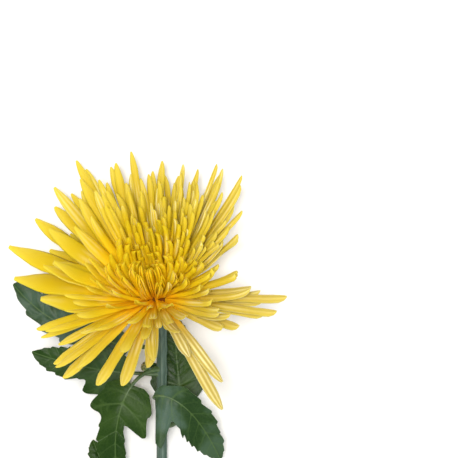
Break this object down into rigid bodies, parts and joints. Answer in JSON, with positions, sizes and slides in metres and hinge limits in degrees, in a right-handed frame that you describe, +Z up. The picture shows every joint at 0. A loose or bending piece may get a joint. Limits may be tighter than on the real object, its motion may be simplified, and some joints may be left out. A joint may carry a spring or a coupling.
{
  "type": "spider chrysanthemum",
  "caption": "Cut chrysanthemum lying on a surface: a bloom of long narrow curved ray florets on a leafy stem with lobed leaves.",
  "frame": {"origin": "middle of the flower's outline on the surface that it lies on", "axes": "+Y along the stem from the cut end to the bloom, +X to the bloom's right as the camera sees it, +Z up from the surface"},
  "size_m": [0.1412, 0.3162, 0.078],
  "materials": {
    "petal_yellow": "soft matt petal, bright yellow",
    "disc_yellow": "matt greenish yellow buds",
    "cup_green": "matt green bracts",
    "stem_green": "ribbed matt green",
    "leaf_green": "leathery green with a slight sheen"
  },
  "bodies": {
    "root": {"ray_florets": "petal_yellow", "disc_florets": "disc_yellow", "involucre": "cup_green", "stem": "stem_green", "leaf_1": "leaf_green", "leaf_2": "leaf_green", "leaf_3": "leaf_green", "leaf_4": "leaf_green", "leaf_5": "leaf_green", "leaf_6": "leaf_green", "leaf_7": "leaf_green"}
  },
  "joints": []
}
